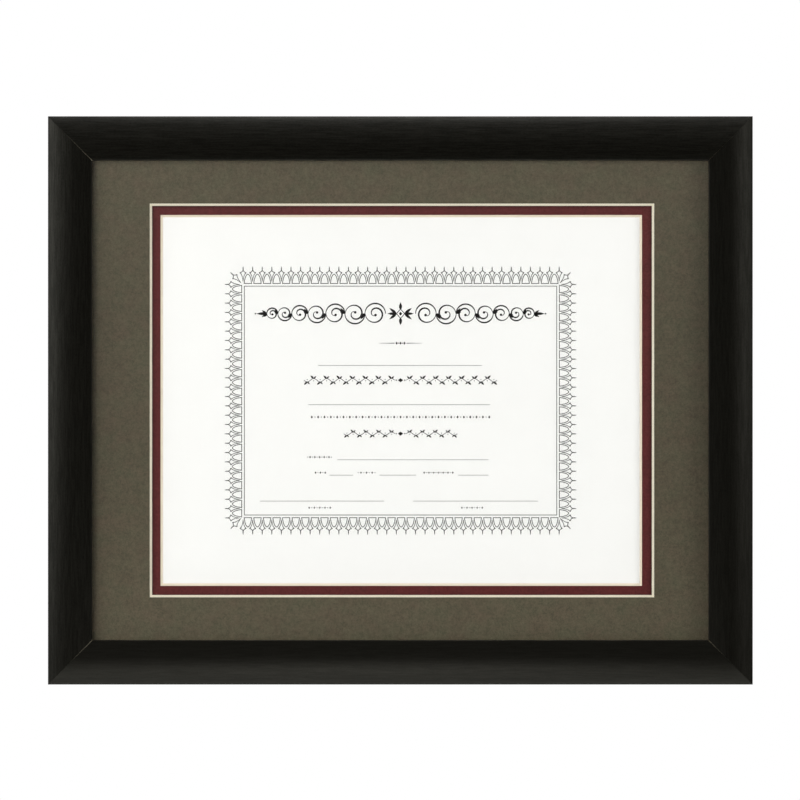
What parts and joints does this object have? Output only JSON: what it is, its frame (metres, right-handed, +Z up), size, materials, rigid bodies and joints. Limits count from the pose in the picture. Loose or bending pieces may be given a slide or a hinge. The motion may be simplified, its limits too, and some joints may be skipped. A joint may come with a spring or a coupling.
{
  "type": "certificate frame",
  "caption": "Black wooden wall frame with glass, a taupe over burgundy double mat, a bordered certificate sheet, a backing board, turn buttons and sawtooth hangers.",
  "frame": {"origin": "nail seat: the middle notch of the top sawtooth hanger, on the back plane of the rails", "axes": "+X to the right along the frame's width as seen from the front, +Y out of the back towards the wall, +Z up"},
  "size_m": [0.3938, 0.0187, 0.3175],
  "materials": {
    "frame_wood": "satin black stain and lacquer over fine open grain; bare at the back and rabbet",
    "outer_mat_board": "matte taupe-grey face paper on a cream core",
    "inner_mat_board": "matte burgundy face paper on a cream core",
    "certificate_paper": "smooth white certificate paper",
    "glazing": "clear picture glass",
    "tape": "thin gummed white tape",
    "filler_board": "plain brown board",
    "hardboard": "smooth tempered hardboard",
    "button_steel": "zinc plated",
    "screw_steel": "zinc plated",
    "hanger_steel": "yellow zinc plated",
    "nail_steel": "bright steel",
    "print_ink": "black ink printed on the certificate",
    "bumper_rubber": "soft matte rubber"
  },
  "bodies": {
    "frame": {"moulding_top": "frame_wood", "moulding_bottom": "frame_wood", "moulding_left": "frame_wood", "moulding_right": "frame_wood", "corner_v_nails": "nail_steel", "glass_pane": "glazing", "outer_mat": "outer_mat_board", "mat_bonding_tape": "tape", "inner_mat": "inner_mat_board", "certificate_sheet": "certificate_paper", "certificate_hinge_tapes": "tape", "filler_board": "filler_board", "backing_board": "hardboard", "turn_button_screws": "screw_steel", "sawtooth_hanger_top": "hanger_steel", "sawtooth_hanger_side": "hanger_steel", "hanger_nails": "nail_steel", "wall_bumpers": "bumper_rubber"},
    "turn_button_top_left": {"turn_button_top_left": "button_steel"},
    "turn_button_top_right": {"turn_button_top_right": "button_steel"},
    "turn_button_bottom_left": {"turn_button_bottom_left": "button_steel"},
    "turn_button_bottom_right": {"turn_button_bottom_right": "button_steel"},
    "turn_button_left_upper": {"turn_button_left_upper": "button_steel"},
    "turn_button_left_lower": {"turn_button_left_lower": "button_steel"},
    "turn_button_right_upper": {"turn_button_right_upper": "button_steel"},
    "turn_button_right_lower": {"turn_button_right_lower": "button_steel"}
  },
  "joints": [
    {"name": "turn_top_left", "type": "hinge", "parent": "frame", "child": "turn_button_top_left", "pos_m": [-0.11024, 0.0006, 0.0008], "axis": [0, 1, 0], "continuous": true},
    {"name": "turn_top_right", "type": "hinge", "parent": "frame", "child": "turn_button_top_right", "pos_m": [0.11024, 0.0006, 0.0008], "axis": [0, 1, 0], "continuous": true},
    {"name": "turn_bottom_left", "type": "hinge", "parent": "frame", "child": "turn_button_bottom_left", "pos_m": [-0.11024, 0.0006, -0.2943], "axis": [0, 1, 0], "continuous": true},
    {"name": "turn_bottom_right", "type": "hinge", "parent": "frame", "child": "turn_button_bottom_right", "pos_m": [0.11024, 0.0006, -0.2943], "axis": [0, 1, 0], "continuous": true},
    {"name": "turn_left_upper", "type": "hinge", "parent": "frame", "child": "turn_button_left_upper", "pos_m": [-0.18565, 0.0006, -0.05785], "axis": [0, 1, 0], "continuous": true},
    {"name": "turn_left_lower", "type": "hinge", "parent": "frame", "child": "turn_button_left_lower", "pos_m": [-0.18565, 0.0006, -0.23565], "axis": [0, 1, 0], "continuous": true},
    {"name": "turn_right_upper", "type": "hinge", "parent": "frame", "child": "turn_button_right_upper", "pos_m": [0.18565, 0.0006, -0.05785], "axis": [0, 1, 0], "continuous": true},
    {"name": "turn_right_lower", "type": "hinge", "parent": "frame", "child": "turn_button_right_lower", "pos_m": [0.18565, 0.0006, -0.23565], "axis": [0, 1, 0], "continuous": true}
  ]
}
